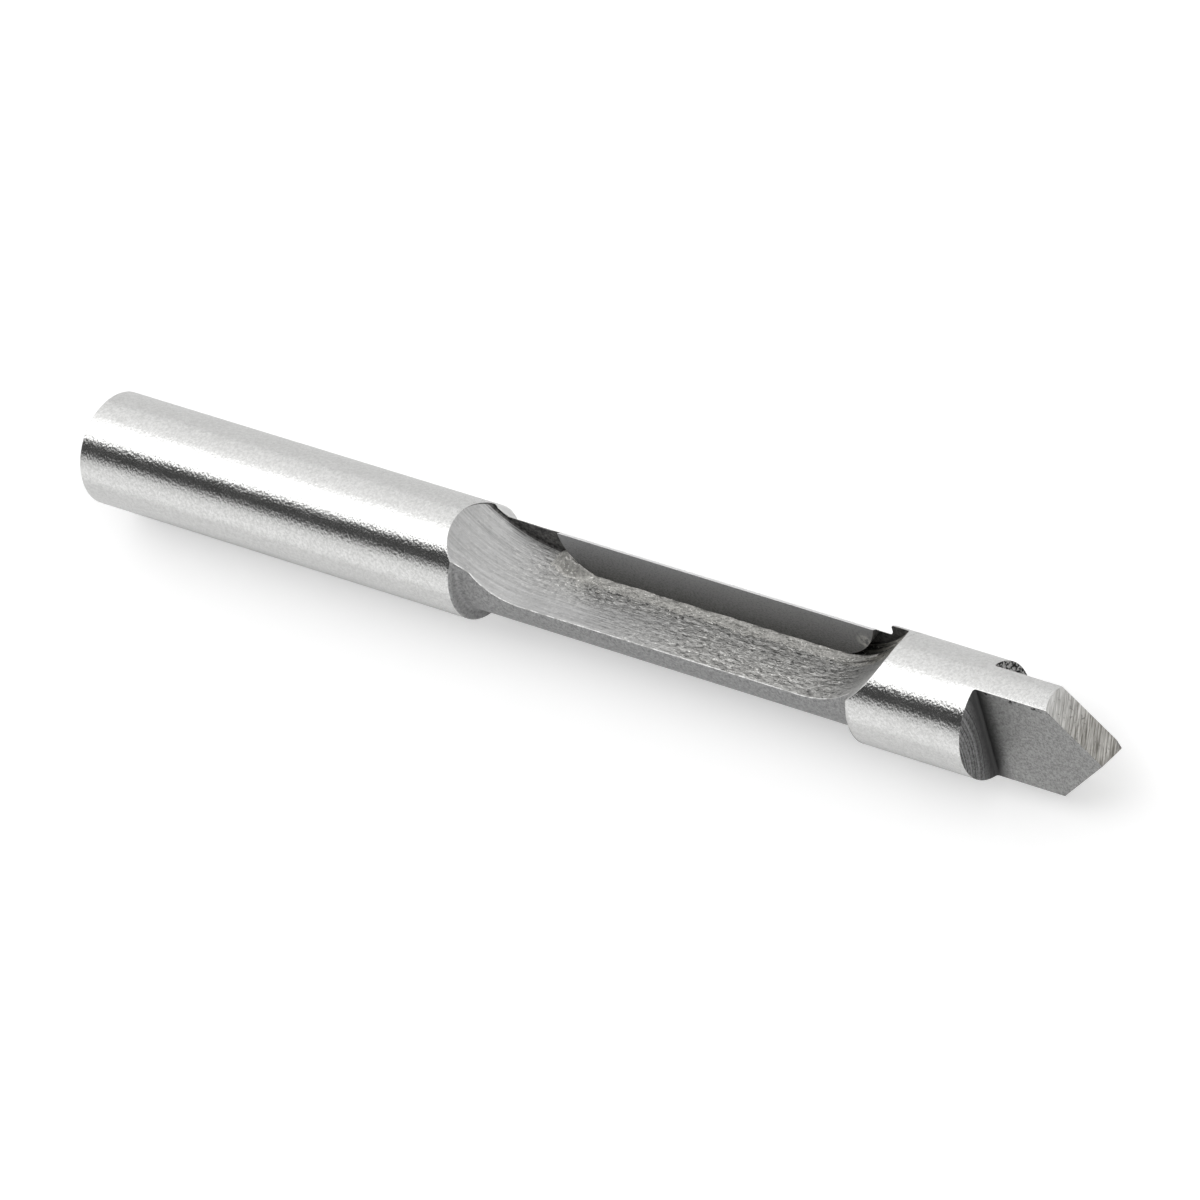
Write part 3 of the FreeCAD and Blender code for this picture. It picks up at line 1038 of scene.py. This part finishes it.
def plate_foot(x):
    """Height of the plate's lower outline above the flute's floor."""
    shank_side = plate_from + plate_corner_shank - x
    pilot_side = x - (plate_to - plate_corner_pilot)
    if shank_side > 0:
        radius, past = plate_corner_shank, min(shank_side, plate_corner_shank)
    else:
        radius, past = plate_corner_pilot, max(pilot_side, 0.0)
    return radius - math.sqrt(radius ** 2 - past ** 2)


def solder_height(x, across):
    """Thickness of the solder on the floor, in millimetres."""
    ahead = max(face_offset - across, 0.0)
    lump = fractal_noise(Vector((1.4 * x, 2.4 * across, 31.0)), 0.7, 2.0, 3)
    ends = smooth_step(x, solder_from + 0.4, plate_from + 0.8)
    ends *= smooth_step(x, solder_to, solder_to - 3.0)
    bead = bead_height * ends * max(0.0, 1 - ahead / bead_reach) ** 1.5
    if x < plate_from:
        fill = pool_height * math.exp((x - plate_from) / pool_reach)
    else:
        fill = plate_foot(x) * smooth_step(x, plate_from + 3.2, plate_from + 1.4) + 0.04
    fill = min(fill, pool_height) * smooth_step(x, solder_from, solder_from + 0.9)
    pool = fill * max(0.0, 1 - ahead / (0.25 + 0.3 * fill)) ** 1.6
    thick = max(bead, pool)
    return thick * (1 + 0.3 * lump) + 0.015 * lump * min(thick / 0.03, 1.0)


def solder_back(x):
    """How far back the solder is modelled: to the wall by the shank, else just into the plate."""
    return face_offset + 0.04 + (wall_offset - face_offset - 0.05) * smooth_step(x, 33.6, 32.6)


print("solder against the plate at its middle:", round(solder_height(41.5, face_offset), 3), "mm")

# %% [markdown]
# The grid has two layers, the underside and the top, and a strip round its rim closes it.

# %% Heap the solder
solder_columns, solder_rows = 300, 26


def solder_grid():
    """Layer and place of each point of the solder, first for the underside and then for the top."""
    for layer in range(2):
        for i in range(solder_columns + 1):
            x = solder_from + (solder_to - solder_from) * i / solder_columns
            for j in range(solder_rows + 1):
                yield layer, x, solder_front + (solder_back(x) - solder_front) * j / solder_rows


verts, faces = [], []
for layer, x, across in solder_grid():
    rise = solder_height(x, across) - 0.5 * solder_sunk if layer else -solder_sunk
    verts.append(flute_point(x, across, floor_at(x) + rise))
size = solder_rows + 1
top = (solder_columns + 1) * size
for i in range(solder_columns):
    for j in range(solder_rows):
        a = i * size + j
        faces.append((a, a + 1, a + size + 1, a + size))
        faces.append((top + a, top + a + size, top + a + size + 1, top + a + 1))
rim = [i * size for i in range(solder_columns)]
rim += [solder_columns * size + j for j in range(solder_rows)]
rim += [i * size + solder_rows for i in range(solder_columns, 0, -1)]
rim += list(range(solder_rows, 0, -1))
faces += [(a, b, b + top, a + top) for a, b in zip(rim, rim[1:] + rim[:1])]
solder = grid_object("solder", verts, faces)
solder.data.materials.append(silver_solder)
face_outwards(solder)
solder.data.polygons.foreach_set("use_smooth", [True] * len(solder.data.polygons))
print("solder bed:", len(solder.data.polygons), "faces,", open_edges(solder), "open edges")

# %% [markdown]
# Its surface is full of small frozen beads.  They repeat and follow the surface, so Geometry Nodes
# scatter them: points on the bed, a small ball on each, then real mesh again with the same finish.

# %% Write the tree for the beads
def bead_tree(material):
    """Geometry Nodes tree that adds small balls to a surface."""
    tree = bpy.data.node_groups.new("solder_beads", "GeometryNodeTree")
    face = tree.interface
    face.new_socket(name="Bed", in_out="INPUT", socket_type="NodeSocketGeometry")
    names = {}
    for name, kind in (
        ("Beads per Square Metre", "NodeSocketFloat"), ("Bead Radius", "NodeSocketFloat"),
        ("Seed", "NodeSocketInt"),
    ):
        names[name] = face.new_socket(name=name, in_out="INPUT", socket_type=kind).identifier
    face.new_socket(name="Solder", in_out="OUTPUT", socket_type="NodeSocketGeometry")
    given, result = tree.nodes.new("NodeGroupInput"), tree.nodes.new("NodeGroupOutput")
    scatter = new_node(tree, "GeometryNodeDistributePointsOnFaces", distribute_method="RANDOM")
    share = new_node(tree, "GeometryNodeInputNamedAttribute", data_type="FLOAT")
    share.inputs["Name"].default_value = "share"
    amount = new_node(tree, "ShaderNodeMath", operation="MULTIPLY")
    ball = new_node(tree, "GeometryNodeMeshIcoSphere", Subdivisions=1)
    spread = new_node(tree, "FunctionNodeRandomValue", data_type="FLOAT_VECTOR")
    spread.inputs[0].default_value = (0.5, 0.5, 0.35)
    spread.inputs[1].default_value = (1.5, 1.3, 0.9)
    place = tree.nodes.new("GeometryNodeInstanceOnPoints")
    solid = tree.nodes.new("GeometryNodeRealizeInstances")
    soft = tree.nodes.new("GeometryNodeSetShadeSmooth")
    both = tree.nodes.new("GeometryNodeJoinGeometry")
    finish = new_node(tree, "GeometryNodeSetMaterial", Material=material)
    link = tree.links.new
    link(given.outputs["Bed"], scatter.inputs["Mesh"])
    link(given.outputs["Beads per Square Metre"], amount.inputs[0])
    link(share.outputs["Attribute"], amount.inputs[1])
    link(amount.outputs[0], scatter.inputs["Density"])
    link(given.outputs["Seed"], scatter.inputs["Seed"])
    link(given.outputs["Seed"], spread.inputs["Seed"])
    link(given.outputs["Bead Radius"], ball.inputs["Radius"])
    link(scatter.outputs["Points"], place.inputs["Points"])
    link(scatter.outputs["Rotation"], place.inputs["Rotation"])
    link(ball.outputs["Mesh"], place.inputs["Instance"])
    link(spread.outputs[0], place.inputs["Scale"])
    link(place.outputs[0], solid.inputs[0])
    link(solid.outputs[0], soft.inputs[0])
    link(given.outputs["Bed"], both.inputs[0])
    link(soft.outputs[0], both.inputs[0])
    link(both.outputs[0], finish.inputs["Geometry"])
    link(finish.outputs[0], result.inputs[0])
    return tree, names


beads, names = bead_tree(silver_solder)
print("inputs of the tree:", sorted(names))

# %% [markdown]
# The underside gets no beads, and the top gets them where the solder is thick enough.  That share
# is stored on the points of the bed, and goes away again once the beads are real mesh.

# %% Scatter the beads
beads_per_square_mm, bead_radius, bead_seed = 45.0, 0.02, 7
thin, thick = -0.02, 0.06
share = solder.data.attributes.new("share", "FLOAT", "POINT")
share.data.foreach_set("value", [
    layer * smooth_step(solder_height(x, across), thin, thick) for layer, x, across in solder_grid()
])
change = solder.modifiers.new("beads", "NODES")
change.node_group = beads
change[names["Beads per Square Metre"]] = beads_per_square_mm / MM ** 2
change[names["Bead Radius"]] = bead_radius * MM
change[names["Seed"]] = bead_seed
settle(solder)
solder.data.attributes.remove(solder.data.attributes["share"])
print("solder:", len(solder.data.polygons), "faces,", open_edges(solder), "open edges")

# %% [markdown]
# ## Hand over
# Each piece rides on the only body and takes the place of its solid.

# %% Hand the pieces over
for piece, node, slot in (
    (bar, "steel_body", "steel"), (plate, "carbide_blade", "carbide"), (solder, "braze_fillet", "braze"),
):
    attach(piece, "root")
    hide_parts(node)
